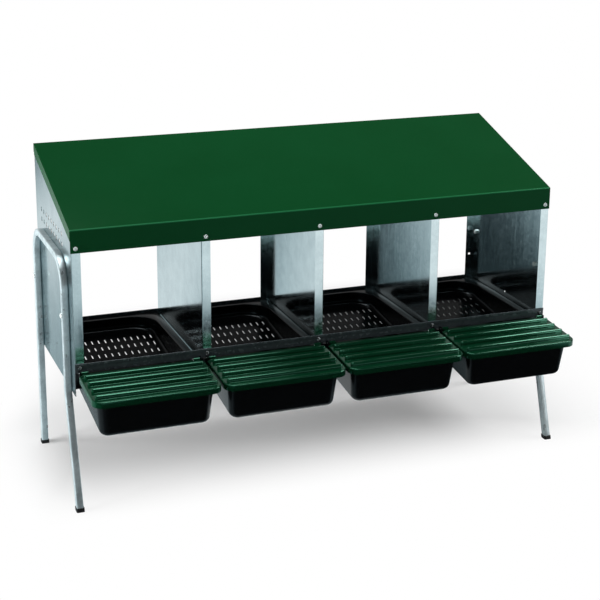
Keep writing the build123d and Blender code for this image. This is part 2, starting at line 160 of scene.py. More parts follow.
def closed_loft(bm, rings):
    """Skin through rings, with a face at each end."""
    made = loft(bm, rings)
    bm.faces.new(made[0])
    bm.faces.new(made[-1])
    return made


def closed_edges(bm, loop):
    """Edges round a loop of vertices, made where they are missing."""
    edges = []
    for i, v in enumerate(loop):
        pair = (v, loop[(i + 1) % len(loop)])
        edges.append(bm.edges.get(pair) or bm.edges.new(pair))
    return edges


def fill_edges(bm, edges, normal):
    """Flat face inside closed edges, with holes where they are nested."""
    bmesh.ops.triangle_fill(bm, use_beauty=True, use_dissolve=False, edges=edges, normal=normal)


def fill(bm, loops, normal):
    """Flat face inside the first loop, with the other loops as holes."""
    fill_edges(bm, [e for loop in loops for e in closed_edges(bm, loop)], normal)


def arc(cx, cy, radius, start, end, steps):
    """Points on an arc, angles in degrees."""
    turns = [math.radians(start + (end - start) * k / steps) for k in range(steps + 1)]
    return [(cx + radius * math.cos(t), cy + radius * math.sin(t)) for t in turns]


def circle(radius, count):
    return arc(0, 0, radius, 0, 360 - 360 / count, count - 1)


def rounded_square(half, radius):
    inner = half - radius
    loop = []
    for sx, sy, start in ((1, 1, 0), (-1, 1, 90), (-1, -1, 180), (1, -1, 270)):
        loop += arc(sx * inner, sy * inner, radius, start, start + 90, CORNER_STEPS)
    return loop


def quarter_turn(steps):
    """Angles from 0 to a right angle, in radians."""
    return [math.pi / 2 * step / steps for step in range(steps + 1)]


def offset(loop, out):
    """Closed counterclockwise outline moved outwards, with mitred corners."""
    moved = []
    for i, p in enumerate(loop):
        p = Vector(p)
        before = (p - Vector(loop[i - 1])).normalized()
        after = (Vector(loop[(i + 1) % len(loop)]) - p).normalized()
        n1, n2 = Vector((before.y, -before.x)), Vector((after.y, -after.x))
        moved.append(p + (n1 + n2) * (out / (1 + n1.dot(n2))))
    return moved


def at_height(loop, z):
    return [(p[0], p[1], z) for p in loop]


def round_edges(bm, verts, radius):
    edges = list({e for v in verts for e in v.link_edges})
    bmesh.ops.bevel(
        bm, geom=edges, offset=radius * MM, segments=BEVEL_SEGMENTS, profile=0.5, affect="EDGES"
    )


def rounded_box(bm, low, high, radius):
    """Box with rounded edges, in millimetres."""
    low, high = Vector(low) * MM, Vector(high) * MM
    place = Matrix.Translation((low + high) / 2) @ Matrix.Diagonal((*(high - low), 1))
    round_edges(bm, bmesh.ops.create_cube(bm, size=1, matrix=place)["verts"], radius)


def rounded_prism(bm, section, x0, x1, radius):
    """Bar along X with a section in Y and Z and rounded edges, in millimetres."""
    made = closed_loft(bm, [[(x, y, z) for y, z in section] for x in (x0, x1)])
    round_edges(bm, [v for end in made for v in end], radius)


def piece(name, bm, look, body, node, sharp=SOFT_SHARP):
    """Finished mesh that rides on a body and stands for a node."""
    bmesh.ops.recalc_face_normals(bm, faces=bm.faces)
    for face in bm.faces:
        face.smooth = True
    mesh = bpy.data.meshes.new(name)
    bm.to_mesh(mesh)
    bm.free()
    mesh.set_sharp_from_angle(angle=math.radians(sharp))
    mesh.materials.append(MATERIALS[look])
    obj = bpy.data.objects.new(name, mesh)
    bpy.context.scene.collection.objects.link(obj)
    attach(obj, body)
    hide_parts(node)


# Materials


class Graph:
    """Node tree with helpers that return an output socket."""

    def __init__(self, tree):
        self.tree = tree

    def node(self, kind, inputs=None, **settings):
        """New node. Each input is a socket to link or a value to set."""
        made = self.tree.nodes.new(kind)
        for key, value in settings.items():
            setattr(made, key, value)
        for key, value in (inputs or {}).items():
            if isinstance(value, bpy.types.NodeSocket):
                self.tree.links.new(value, made.inputs[key])
            else:
                made.inputs[key].default_value = value
        return made

    def coords(self, kind):
        return self.node("ShaderNodeTexCoord").outputs[kind]

    def split(self, vector):
        """X, Y and Z of a vector."""
        return list(self.node("ShaderNodeSeparateXYZ", {"Vector": vector}).outputs)

    def math(self, operation, a, b):
        return self.node("ShaderNodeMath", {0: a, 1: b}, operation=operation).outputs["Value"]

    def change(self, value, low, high, at_low, at_high, kind):
        """Change from one value to another between two points."""
        inputs = {"Value": value, "From Min": low, "From Max": high, "To Min": at_low, "To Max": at_high}
        return self.node("ShaderNodeMapRange", inputs, interpolation_type=kind).outputs["Result"]

    def blend(self, factor, a, b):
        """Colour a where the factor is 0, b where it is 1."""
        ends = [c if isinstance(c, bpy.types.NodeSocket) else (*c, 1) for c in (a, b)]
        inputs = {0: factor, 6: ends[0], 7: ends[1]}
        return self.node("ShaderNodeMix", inputs, data_type="RGBA").outputs[2]


class Paint(Graph):
    """Principled material. Textures follow object coordinates in metres."""

    def __init__(self, name, **sockets):
        self.material = bpy.data.materials.new(name)
        self.material.use_nodes = True
        super().__init__(self.material.node_tree)
        self.shader = self.tree.nodes["Principled BSDF"]
        for socket, value in sockets.items():
            self.shader.inputs[socket.replace("_", " ")].default_value = value
        self.place = self.coords("Object")

    def stretched(self, scale):
        inputs = {"Vector": self.place, "Scale": scale}
        return self.node("ShaderNodeMapping", inputs).outputs["Vector"]

    def noise(self, scale, detail, vector=None):
        inputs = {"Vector": vector or self.place, "Scale": scale, "Detail": detail}
        return self.node("ShaderNodeTexNoise", inputs).outputs["Fac"]

    def cells(self, scale):
        inputs = {"Vector": self.place, "Scale": scale}
        colour = self.node("ShaderNodeTexVoronoi", inputs).outputs["Color"]
        return self.node("ShaderNodeSeparateColor", {"Color": colour}).outputs["Red"]

    def between(self, value, low, high, from_low=0.0, from_high=1.0):
        return self.change(value, from_low, from_high, low, high, "LINEAR")

    def bump(self, height, distance, strength, under=None):
        inputs = {"Height": height, "Distance": distance, "Strength": strength}
        if under is not None:
            inputs["Normal"] = under
        return self.node("ShaderNodeBump", inputs).outputs["Normal"]

    def drive(self, socket, value):
        self.tree.links.new(value, self.shader.inputs[socket])


def roof_paint():
    """Satin green with a fine grain, a slight wave in the sheet and a painted highlight along the front
    bend.
    """
    paint = Paint("roof_paint", Specular_IOR_Level=0.1, Specular_Tint=(0.3, 1.0, 0.7, 1.0))
    dark, pale, bend_highlight = (0.0029, 0.047, 0.0118), (0.0038, 0.057, 0.0158), (0.013, 0.125, 0.045)
    rough = (0.2, 0.28)
    body = paint.blend(paint.noise(scale=7.0, detail=4.0), dark, pale)
    _, y, z = paint.split(paint.place)
    full, gone = (FRONT + BEND_FULL_BEHIND) * MM, (FRONT + BEND_GONE_BEHIND) * MM
    near_front = paint.between(y, 1.0, 0.0, full, gone)
    full, gone = (ROOF_UNDER - BEND_FULL_UNDER) * MM, (ROOF_UNDER - BEND_GONE_UNDER) * MM
    near_top = paint.between(z, 0.0, 1.0, gone, full)
    bend = paint.math("MULTIPLY", near_front, near_top)
    # The paler green along the front bend is a painted highlight where the fold catches the light
    paint.drive("Base Color", paint.blend(bend, body, bend_highlight))
    paint.drive("Roughness", paint.between(paint.noise(scale=55.0, detail=4.0), *rough))
    folds = paint.node("ShaderNodeBevel", {"Radius": FOLD_ROUND * MM}, samples=FOLD_SAMPLES)
    wave = paint.noise(scale=4.0, detail=1.0)
    waves = paint.bump(wave, distance=0.002, strength=0.1, under=folds.outputs["Normal"])
    grain = paint.noise(scale=900.0, detail=2.0)
    paint.drive("Normal", paint.bump(grain, distance=0.0001, strength=0.35, under=waves))
    return paint.material


def zinc_sheet(name, dark, pale, streaks, rough, wave, cloud, metal):
    """Rolled steel: crystal flakes, rolling streaks, cloudy patches and a slight wave in the sheet."""
    paint = Paint(name, Metallic=metal)
    flake_share, rolled_share = 0.3, 0.7
    flakes = paint.math("MULTIPLY", paint.cells(scale=140.0), flake_share)
    rolled = paint.noise(scale=1.0, detail=3.0, vector=paint.stretched(streaks))
    mixed = paint.math("ADD", flakes, paint.math("MULTIPLY", rolled, rolled_share))
    clouds = paint.noise(scale=26.0, detail=6.0)
    patches = paint.between(clouds, -cloud, cloud, from_low=0.3, from_high=0.7)
    paint.drive("Base Color", paint.blend(paint.math("ADD", mixed, patches), dark, pale))
    paint.drive("Roughness", paint.between(mixed, *rough, from_low=0.2, from_high=0.8))
    waves = paint.bump(paint.noise(scale=5.0, detail=1.0), distance=0.002, strength=wave)
    paint.drive("Normal", paint.bump(rolled, distance=0.00003, strength=wave, under=waves))
    return paint.material


def zinc_plate(name, dark, pale, metal):
    """Plated fastener, unevenly bright."""
    paint = Paint(name, Metallic=metal)
    rough = (0.18, 0.34)
    tone = paint.noise(scale=220.0, detail=3.0)
    paint.drive("Base Color", paint.blend(tone, dark, pale))
    paint.drive("Roughness", paint.between(tone, *rough))
    return paint.material


def moulded(name, dark, pale, rough, specular, sheen, grain):
    """Moulded plastic with a fine grain and faint scuffs."""
    paint = Paint(name, Specular_IOR_Level=specular, Specular_Tint=(*sheen, 1))
    paint.drive("Base Color", paint.blend(paint.noise(scale=18.0, detail=4.0), dark, pale))
    paint.drive("Roughness", paint.between(paint.noise(scale=70.0, detail=5.0), *rough))
    fine = paint.noise(scale=grain, detail=2.0)
    paint.drive("Normal", paint.bump(fine, distance=0.00006, strength=0.3))
    return paint.material


MATERIALS = {
    "roof": roof_paint(),
    "panel": zinc_sheet(
        "galvanised_panel",
        dark=(0.52, 0.64, 0.67),
        pale=(0.7, 0.84, 0.865),
        streaks=(90.0, 90.0, 4.0),
        rough=(0.1, 0.18),
        wave=0.1,
        cloud=0.3,
        metal=1.0,
    ),
    "strip": zinc_sheet(
        "dark_strip",
        dark=(0.05, 0.064, 0.071),
        pale=(0.1, 0.124, 0.135),
        streaks=(3.0, 90.0, 160.0),
        rough=(0.2, 0.3),
        wave=0.2,
        cloud=0.15,
        metal=0.4,
    ),
    "tube": zinc_sheet(
        "galvanised_tube",
        dark=(0.5, 0.6, 0.63),
        pale=(0.78, 0.91, 0.94),
        streaks=(60.0, 60.0, 5.0),
        rough=(0.26, 0.36),
        wave=0.03,
        cloud=0.5,
        metal=0.6,
    ),
    "zinc": zinc_plate("bright_zinc", dark=(0.66, 0.75, 0.75), pale=(0.84, 0.93, 0.92), metal=0.3),
    # Darker copy of the zinc for the screws in the strip and the rail: painted shade for the dark that
    # these screws reflect
    "zinc_darkened_as_shade": zinc_plate("zinc_darkened_as_shade", dark=(0.2, 0.22, 0.225), pale=(0.36, 0.39, 0.4), metal=1.0),
    "tray": moulded(
        "black_plastic",
        dark=(0.0028, 0.0034, 0.0038),
        pale=(0.0044, 0.0052, 0.006),
        rough=(0.16, 0.24),
        specular=0.22,
        sheen=(0.8, 0.94, 1.0),
        grain=1500.0,
    ),
    "lid": moulded(
        "green_plastic",
        dark=(0.0017, 0.0255, 0.0103),
        pale=(0.0025, 0.0325, 0.0133),
        rough=(0.07, 0.11),
        specular=1.0,
        sheen=(0.32, 1.0, 0.68),
        grain=1200.0,
    ),
    "cap": moulded(
        "cap_plastic",
        dark=(0.012, 0.012, 0.013),
        pale=(0.02, 0.02, 0.021),
        rough=(0.4, 0.55),
        specular=0.3,
        sheen=(1.0, 1.0, 1.0),
        grain=1500.0,
    ),
}


# Lids


def lid_outline():
    """Plan of a lid, counterclockwise from the left front corner, and which points carry the skirt."""
    corner_x, corner_y = LID_HALF - LID_CORNER, LID_CORNER - LID_DEPTH
    loop = arc(-corner_x, corner_y, LID_CORNER, 180, 270, LID_CORNER_STEPS)
    loop += arc(corner_x, corner_y, LID_CORNER, 270, 360, LID_CORNER_STEPS)
    chamfer_x, chamfer_y, soft = LID_HALF - LID_CHAMFER, -LID_CHAMFER, LID_CHAMFER_SOFT
    right = [
        (LID_HALF, chamfer_y - SKIRT_FULL),
        (LID_HALF, chamfer_y - SKIRT_GONE),
        (LID_HALF, chamfer_y),
        (LID_HALF - 0.35 * soft, chamfer_y + 0.7 * soft),
        (chamfer_x + soft, -soft),
        (chamfer_x, -0.4 * soft),
        (chamfer_x - soft, 0.0),
    ]
    loop += right + [(-x, y) for x, y in reversed(right)]
    skirt_end = chamfer_y - (SKIRT_FULL + SKIRT_GONE) / 2
    return loop, [y < skirt_end for _, y in loop]


def rib_ring(y, out, z):
    """Long ring with half-round ends at a distance from the rib's middle line, shorter near the crown."""
    half = LID_HALF - RIB_INSET - RIB_END * max(0.0, 1 - out / RIB_HALF) - out
    ends = arc(half, y, out, -90, 90, RIB_STEPS) + arc(-half, y, out, 90, 270, RIB_STEPS)
    return at_height(ends, z)


def rib_profile():
    """Distance from the middle line and height over the lid, from a soft foot up to the round crown."""
    shoulder = RIB_HEIGHT - RIB_HALF
    crown = arc(0, 0, RIB_HALF, 0, RIB_CROWN, RIB_STEPS)
    return [(RIB_HALF + out, lift) for out, lift in RIB_FOOT] + [(y, shoulder + z) for y, z in crown]


def knuckle_profile():
    """Distance along the hinge and radius, from the bore's inner end round the outside."""
    return [
        (KNUCKLE_INNER, PIN_BORE),
        (KNUCKLE_INNER, KNUCKLE_RADIUS - KNUCKLE_EDGE),
        (KNUCKLE_INNER + KNUCKLE_EDGE, KNUCKLE_RADIUS),
        (KNUCKLE_OUTER - KNUCKLE_EDGE, KNUCKLE_RADIUS),
        (KNUCKLE_OUTER, KNUCKLE_RADIUS - KNUCKLE_EDGE),
        (KNUCKLE_OUTER, PIN_BORE),
    ]


def egg_lid(k):
    """Lid with its skirt, ribs and knuckles."""
    bm = bmesh.new()
    outline, skirted = lid_outline()
    low = [LID_UNDER - (LID_SKIRT if s else LID_BARE) for s in skirted]

    def level(inset, lift):
        return [(p[0], p[1], z + lift) for p, z in zip(offset(outline, -inset), low)]

    rings = [at_height(offset(outline, -LID_WALL), LID_UNDER), level(LID_WALL, 0.0)]
    rings += [level(SKIRT_INSET, 0.0), level(0.0, SKIRT_LIFT)]
    for turn in quarter_turn(LID_EDGE_STEPS):
        inset, drop = LID_EDGE * (1 - math.cos(turn)), LID_EDGE * (1 - math.sin(turn))
        rings.append(at_height(offset(outline, -inset), LID_TOP - drop))
    rings.append(at_height(offset(outline, -LID_EDGE - LID_EDGE_FLAT), LID_TOP))
    closed_loft(bm, rings)
    for n in range(RIB_COUNT):
        y = -RIB_FROM_REAR - n * RIB_PITCH
        closed_loft(bm, [rib_ring(y, out, LID_TOP + lift) for out, lift in rib_profile()])
    for side, _ in SIDES:
        rings = []
        for x, radius in knuckle_profile():
            rings.append([(side * x, y, z) for y, z in circle(radius, KNUCKLE_POINTS)])
        made = loft(bm, rings)
        bridge(bm, made[-1], made[0])
    hinge = Matrix.Translation(Vector((NEST_X[k - 1], HINGE_Y, HINGE_Z)) * MM)
    slope = Matrix.Rotation(math.radians(LID_SLOPE), 4, "X")
    bmesh.ops.transform(bm, verts=bm.verts, matrix=hinge @ slope)
    piece(f"lid_shell_{k}", bm, "lid", f"lid_{k}", f"egg_lid_{k}")


# Trays


def on_floor(u, v, w):
    """Point given on the sloping floor, in the row frame."""
    y = FRONT + v * math.cos(SLOPE) - w * math.sin(SLOPE)
    z = FLOOR_AT_BAR + v * math.sin(SLOPE) + w * math.cos(SLOPE)
    return (u, y, z)


def to_floor(y, z):
    """Distance along the floor and above it."""
    dy, dz = y - FRONT, z - FLOOR_AT_BAR
    return dy * math.cos(SLOPE) + dz * math.sin(SLOPE), dz * math.cos(SLOPE) - dy * math.sin(SLOPE)


def basin_plan():
    """Outline of the basin at floor level, with the outward direction at each point."""
    front_v, front_w = to_floor(BASIN_FRONT, RIM_TOP)
    rear_v, rear_w = to_floor(BASIN_REAR, RIM_TOP)
    half = BASIN_HALF - FLARE * to_floor(FRONT, RIM_TOP)[1]
    front_v += FLARE * front_w
    rear_v -= FLARE * rear_w
    front_r, rear_r = FRONT_RADIUS - FLARE * front_w, REAR_RADIUS - FLARE * rear_w
    plan = []
    for side, v, radius, start in (
        (1, front_v + front_r, front_r, -90),
        (1, rear_v - rear_r, rear_r, 0),
        (-1, rear_v - rear_r, rear_r, 90),
        (-1, front_v + front_r, front_r, 180),
    ):
        for du, dv in arc(0, 0, 1, start, start + 90, BASIN_STEPS):
            plan.append((side * (half - radius) + radius * du, v + radius * dv, du, dv))
    return plan, half, rear_v


def basin_rings(plan, wall, top):
    """Rings from the flat of the floor round its edge and up the flaring wall to a level top."""
    radius = FLOOR_RADIUS + wall
    rings = []
    for turn in quarter_turn(FLOOR_STEPS):
        w = FLOOR_RADIUS - radius * math.cos(turn)
        out = wall - radius * (1 - math.sin(turn)) + FLARE * max(w, 0)
        rings.append([on_floor(u + out * du, v + out * dv, w) for u, v, du, dv in plan])
    upper = []
    for u, v, du, dv in plan:
        rise = math.cos(SLOPE) + FLARE * dv * math.sin(SLOPE)
        w = (top - FLOOR_AT_BAR - (v + wall * dv) * math.sin(SLOPE)) / rise
        out = wall + FLARE * w
        upper.append(on_floor(u + out * du, v + out * dv, w))
    rings.append(upper)
    return rings


def rim_outline():
    """Outer edge of the rim, counterclockwise: narrow round the collector, wide inside the nest."""
    half, front = BASIN_HALF + COLLECTOR_RIM, BASIN_FRONT - COLLECTOR_RIM
    radius = FRONT_RADIUS + COLLECTOR_RIM
    loop = arc(-half + radius, front + radius, radius, 180, 270, BASIN_STEPS)
    loop += arc(half - radius, front + radius, radius, 270, 360, BASIN_STEPS)
    loop += [(half, TAB_REAR), (TRAY_HALF, TAB_REAR), (TRAY_HALF, TRAY_REAR)]
    loop += [(-TRAY_HALF, TRAY_REAR), (-TRAY_HALF, TAB_REAR), (-half, TAB_REAR)]
    return loop


def slot_ring(x, v, w):
    """One floor slot with round ends."""
    half, radius = (SLOT_LENGTH - SLOT_WIDTH) / 2, SLOT_WIDTH / 2
    ends = arc(x, v + half, radius, 0, 180, SLOT_STEPS) + arc(x, v - half, radius, 180, 360, SLOT_STEPS)
    return [on_floor(u, y, w) for u, y in ends]


def tray_basin(bm, plan, under):
    """Basin inside and outside, and the rim with soft edges. Returns the two rings round the flat floor."""
    inner = loft(bm, basin_rings(plan, 0.0, RIM_TOP - BASIN_EDGE))
    wall_top = edge = inner[-1]
    for turn in quarter_turn(BASIN_EDGE_STEPS)[1:]:
        out = BASIN_EDGE * (1 - math.cos(turn))
        z = RIM_TOP - BASIN_EDGE + BASIN_EDGE * math.sin(turn)
        points = []
        for v, (_, _, du, dv) in zip(wall_top, plan):
            points.append((v.co.x / MM + out * du, v.co.y / MM + out * dv, z))
        before, edge = edge, ring(bm, points)
        bridge(bm, before, edge)
    outer = loft(bm, basin_rings(plan, TRAY_WALL, under))
    outline = rim_outline()
    rim = loft(
        bm,
        [
            at_height(offset(outline, -RIM_EDGE * 0.5), under),
            at_height(outline, under + RIM_EDGE * 0.5),
            at_height(outline, RIM_TOP - RIM_EDGE),
            at_height(offset(outline, -RIM_EDGE * 0.3), RIM_TOP - RIM_EDGE * 0.3),
            at_height(offset(outline, -RIM_EDGE), RIM_TOP),
        ],
    )
    fill(bm, [rim[-1], edge], (0, 0, 1))
    fill(bm, [rim[0], outer[-1]], (0, 0, -1))
    return inner[0], outer[0]


def nest_tray(k):
    """Tray with its slotted floor, side tabs and hinge ears."""
    bm = bmesh.new()
    plan, half, rear_v = basin_plan()
    under = RIM_TOP - RIM_THICK
    inner, outer = tray_basin(bm, plan, under)
    upper, lower = [], []
    for column in range(SLOT_COLUMNS):
        for row in range(SLOT_ROWS):
            x = (column - (SLOT_COLUMNS - 1) / 2) * SLOT_PITCH_X
            v = rear_v - SLOT_FROM_REAR - row * SLOT_PITCH_Y
            upper.append(ring(bm, slot_ring(x, v, 0.0)))
            lower.append(ring(bm, slot_ring(x, v, -TRAY_WALL)))
            bridge(bm, upper[-1], lower[-1])
    tilt = (0, -math.sin(SLOPE), math.cos(SLOPE))
    fill(bm, [inner] + upper, tilt)
    fill(bm, [outer] + lower, tilt)
    ear_front, ear_top = HINGE_Y - KNUCKLE_RADIUS, HINGE_Z + KNUCKLE_RADIUS
    ear_end = TAB_REAR - EAR_IN_TAB
    ear = [(ear_front, under), (ear_end, under), (ear_end, TAB_TOP), (EAR_REAR, TAB_TOP)]
    ear += [(EAR_REAR, ear_top), (ear_front, ear_top)]
    for side, _ in SIDES:
        x0, x1 = sorted((side * half, side * TAB_OUTER))
        rounded_box(bm, (x0, TAB_REAR - TAB_THICK, TAB_LOW), (x1, TAB_REAR, TAB_TOP), TAB_EDGE)
        rounded_prism(bm, ear, side * EAR_INNER, side * EAR_OUTER, EAR_EDGE)
    bmesh.ops.translate(bm, verts=bm.verts, vec=(NEST_X[k - 1] * MM, 0, 0))
    piece(f"tray_shell_{k}", bm, "tray", f"tray_{k}", f"nest_tray_{k}")


# Legs


def leg_path():
    """Middle line of a leg frame in Y and Z, with its bends, from the front foot to the rear foot."""
    lean = FOOT_FORWARD / KINK_HEIGHT
    top = FRAME_TOP - TUBE / 2
    corners = [
        (FRONT_LEG - FOOT_FORWARD + lean * CAP_FLOOR, CAP_FLOOR, 0),
        (FRONT_LEG, KINK_HEIGHT, KINK_BEND),
        (FRONT_LEG, top, FRAME_BEND),
        (REAR_LEG, top, FRAME_BEND),
        (REAR_LEG, CAP_FLOOR, 0),
    ]
    path = [Vector(corners[0][:2])]
    for before, here, after in zip(corners, corners[1:], corners[2:]):
        p, radius = Vector(here[:2]), here[2]
        u, v = (Vector(before[:2]) - p).normalized(), (Vector(after[:2]) - p).normalized()
        half = u.angle(v) / 2
        centre = p + (u + v).normalized() * radius / math.sin(half)
        first = p + u * radius / math.tan(half) - centre
        last = p + v * radius / math.tan(half) - centre
        turn = first.angle_signed(last)
        steps = max(BEND_STEPS_LEAST, round(abs(turn) / math.radians(BEND_STEP)))
        for step in range(steps + 1):
            path.append(centre + Matrix.Rotation(-turn * step / steps, 2) @ first)
    path.append(Vector(corners[-1][:2]))
    return path


def leg_frame(side, word):
    """Square tube along the leg path."""
    bm = bmesh.new()
    path = leg_path()
    section = rounded_square(TUBE / 2, TUBE_CORNER)
    rings = []
    for i, p in enumerate(path):
        along = (path[min(i + 1, len(path) - 1)] - path[max(i - 1, 0)]).normalized()
        across = Vector((-along.y, along.x))
        points = []
        for sx, sa in section:
            q = p + across * sa
            points.append((side * FRAME_X + sx, q.x, q.y))
        rings.append(points)
    closed_loft(bm, rings)
    piece(f"leg_tube_{word}", bm, "tube", "frame", f"leg_frame_{word}")


def foot_cap(side, word, at_front):
    """Cap round the end of a leg, sheared along the lean of a front leg."""
    lean = FOOT_FORWARD / KINK_HEIGHT if at_front else 0.0
    foot = FRONT_LEG - FOOT_FORWARD if at_front else REAR_LEG
    stretch = math.hypot(1, lean)
    bm = bmesh.new()
    rings = []
    for inset, z in CAP_RINGS:
        loop = rounded_square(CAP_HALF - inset, CAP_CORNER)
        rings.append([(side * FRAME_X + x, foot + lean * z + y * stretch, z) for x, y in loop])
    closed_loft(bm, rings)
    end = "front" if at_front else "rear"
    piece(f"cap_{end}_{word}", bm, "cap", "frame", f"foot_cap_{end}_{word}")


# Sheets


def copied(node):
    """Mesh of a node of the frame, with its seams joined."""
    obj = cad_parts[node]
    bm = bmesh.new()
    bm.from_mesh(obj.data)
    bmesh.ops.transform(bm, verts=bm.verts, matrix=obj.matrix_world)
    bmesh.ops.remove_doubles(bm, verts=bm.verts, dist=SEAM * MM)
    return bm


def roof_sheet():
    """Roof with end flanges as tall as in the photo."""
    bm = copied("roof")
    for v in bm.verts:
        x, y, z = v.co / MM
        drop = ROOF_UNDER + ROOF_SLOPE * (y - FRONT) - z
        at_end = abs(x) > END_FACE - NEAR and FRONT + SHEET < y < REAR - SHEET
        if at_end and abs(drop - END_FLANGE) < NEAR_EDGE:
            v.co.z -= (END_FLANGE_SHOWN - END_FLANGE) * MM
    piece("roof_sheet", bm, "roof", "frame", "roof", sharp=FOLD_SHARP)


def vent_ring(x, y, z):
    """Vent with round ends, on one side of the sheet."""
    rise = VENT_HALF_HEIGHT - VENT_OPEN
    ends = arc(y, z + rise, VENT_OPEN, 0, 180, VENT_STEPS)
    ends += arc(y, z - rise, VENT_OPEN, 180, 360, VENT_STEPS)
    return [(x, u, v) for u, v in ends]


def end_sheet(side, word):
    """End panel with vents as in the photo. Its two flat sides are filled again round them."""
    bm = copied(f"end_panel_{word}")
    planes = [side * (END_FACE - depth) for depth in (0.0, SHEET)]
    columns = [VENT_Y + n * VENT_PITCH for n in range(VENT_COLUMNS)]
    vents = [(y, VENT_Z + n * VENT_ROW_GAP) for y in columns for n in range(VENT_ROWS)]
    reach_y, reach_z = VENT_HALF + NEAR, VENT_HALF_HEIGHT + NEAR

    def on_plane(verts, plane):
        return all(abs(v.co.x / MM - plane) < ON_PLANE for v in verts)

    def in_vent(face):
        _, y, z = face.calc_center_median() / MM
        return any(abs(y - v[0]) < reach_y and abs(z - v[1]) < reach_z for v in vents)

    old = [f for f in bm.faces if in_vent(f) or any(on_plane(f.verts, plane) for plane in planes)]
    bmesh.ops.delete(bm, geom=old, context="FACES")
    for y, z in vents:
        outer, inner = [ring(bm, vent_ring(plane, y, z)) for plane in planes]
        bridge(bm, outer, inner)
    for plane in planes:
        edges = [e for e in bm.edges if len(e.link_faces) == 1 and on_plane(e.verts, plane)]
        fill_edges(bm, edges, (side, 0, 0))
    name, node = f"end_sheet_{word}", f"end_panel_{word}"
    piece(name, bm, "panel", "frame", node, sharp=FOLD_SHARP)


# Fasteners


def headed(bm, place, radius, height, shank_radius, shank, recess):
    """Domed head on a plain shank along -Z of its place, with a cross recess where it has one."""
    shares = [HEAD_STEP * n for n in range(1, HEAD_RINGS + 1)]
    profile = [(share * radius, height * (1 - HEAD_FALL * share**2)) for share in shares]
    profile += [(out * radius, lift * height) for out, lift in HEAD_RIM]
    profile += [(shank_radius, 0.0), (shank_radius, SHANK_POINT - shank)]
    profile.append((shank_radius - SHANK_POINT, -shank))
    rings = []
    for r, z in profile:
        points = []
        for x, y in circle(r, HEAD_POINTS):
            in_cross = r < RECESS_REACH * radius and min(abs(x), abs(y)) < RECESS_HALF * radius
            sunk = RECESS_DEPTH * height if recess and in_cross else 0.0
            points.append(place @ Vector((x, y, z - sunk)))
        rings.append(points)
    closed_loft(bm, rings)


def screw_row(name, node, y, z, outward, look):
    """Screws through the fold of each panel, facing the front (-1) or the back (1)."""
    bm = bmesh.new()
    turn = Matrix.Rotation(math.radians(-90 * outward), 4, "X")
    for i, x in enumerate(SCREW_X):
        spin = Matrix.Rotation(SPIN_STEP * i + SPIN_FIRST, 4, "Z")
        headed(bm, Matrix.Translation((x, y, z)) @ turn @ spin, **SCREW)
    piece(name, bm, look, "frame", node)


def leg_bolts():
    """Bolts through the legs into the end panels."""
    bm = bmesh.new()
    for side, _ in SIDES:
        turn = Matrix.Rotation(math.radians(90 * side), 4, "Y")
        for y in (FRONT_LEG, REAR_LEG):
            headed(bm, Matrix.Translation((side * (END_FACE + TUBE), y, BOLT_Z)) @ turn, **BOLT)
    piece("bolt_set", bm, "zinc", "frame", "leg_bolts")


for k in NESTS:
    egg_lid(k)
    nest_tray(k)
for side, word in SIDES:
    leg_frame(side, word)
    end_sheet(side, word)
    foot_cap(side, word, True)
    foot_cap(side, word, False)
roof_sheet()
screw_row("lip_screws", "roof_screws", FRONT - SHEET, LIP_SCREW_Z, -1, "zinc")
# The strip's and rail's screws take the darker zinc copy, which is painted shade
screw_row("strip_screws", "bar_screws", FRONT - SHEET, BAR_SCREW_Z, -1, "zinc_darkened_as_shade")
screw_row("rail_screws", "rear_screws", REAR + SHEET, RAIL_SCREW_Z, 1, "zinc_darkened_as_shade")
leg_bolts()

# Nodes that show their CAD meshes
node_looks = {"front_bar": "strip", "rear_rail": "strip", "leg_nuts": "zinc"}
for name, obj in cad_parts.items():
    if obj.hide_render:
        continue
    look = node_looks.get(name) or ("zinc" if name.startswith("lid_pins") else "panel")
    obj.data.materials.clear()
    obj.data.materials.append(MATERIALS[look])


# Floor and world. A ramp has its two ends, in metres on the floor, and the values at these ends.

FLOOR_REACH = 60.0
# FLOOR_SHADED is the darker grey of the painted shadow behind the row
FLOOR_LIT, FLOOR_SHADED, FLOOR_BOUNCE = (0.86, 0.86, 0.86), (0.3, 0.31, 0.315), (0.45, 0.45, 0.45)
FLOOR_GLOW = 0.1

# Where the camera sees the row's shadow, which behind the row is painted onto the floor. Behind the row it
# leans to the right.
SHADOW_FROM, SHADOW_LEAN = 0.26, 0.55
SHADOW_BEHIND, SHADOW_DEEPER = (0.2, 0.45, 0.0, 1.0), (-0.7, 0.1, 0.15, 1.0)
SHADOW_RIGHT, SHADOW_RIGHT_BEHIND = (0.25, 1.0, 0.0, 1.0), (0.56, 0.78, 0.0, 1.0)
SHADOW_LEFT, SHADOW_LEFT_BEHIND = (-0.72, -0.5, 1.0, 0.0), (-0.76, -0.6, 1.0, 0.0)
SHADOW_NEAR_END, SHADOW_FAR_END = (-0.22, 0.14, 1.0, 0.0), (0.85, 1.2, 0.0, 1.0)

# Brightness of the floor in gloss, behind the row and in front of it
SWEEP_FROM, SWEEP_LEAN = 0.9, 0.41
SWEEP_FADE, SWEEP_LEFT = (-0.42, 0.0, 0.86, 0.035), (-0.75, -0.45, 0.5, 1.0)
SWEEP_RIGHT = (0.7, 1.3, 0.0, 0.7)
APRON_LEAN = 0.12
APRON_DARK, APRON_FAR = (1.12, 1.36, 0.01, 1.0), (3.0, 4.0, 1.0, 0.1)
APRON_ACROSS, APRON_RIGHT = (-0.6, 0.8, 0.72, 1.0), (0.85, 1.08, 0.0, 0.75)
CORNER_ACROSS, CORNER_AHEAD = (-0.42, -0.3, 0.6, 0.0), (-0.98, -0.9, 1.0, 0.0)
APRON_TO_SWEEP = (-0.35, -0.25, 0.0, 1.0)
GLOSS_DIM, GLOSS_BRIGHT = (0.6, 0.9, 1.0), (1.0, 1.0, 1.0)

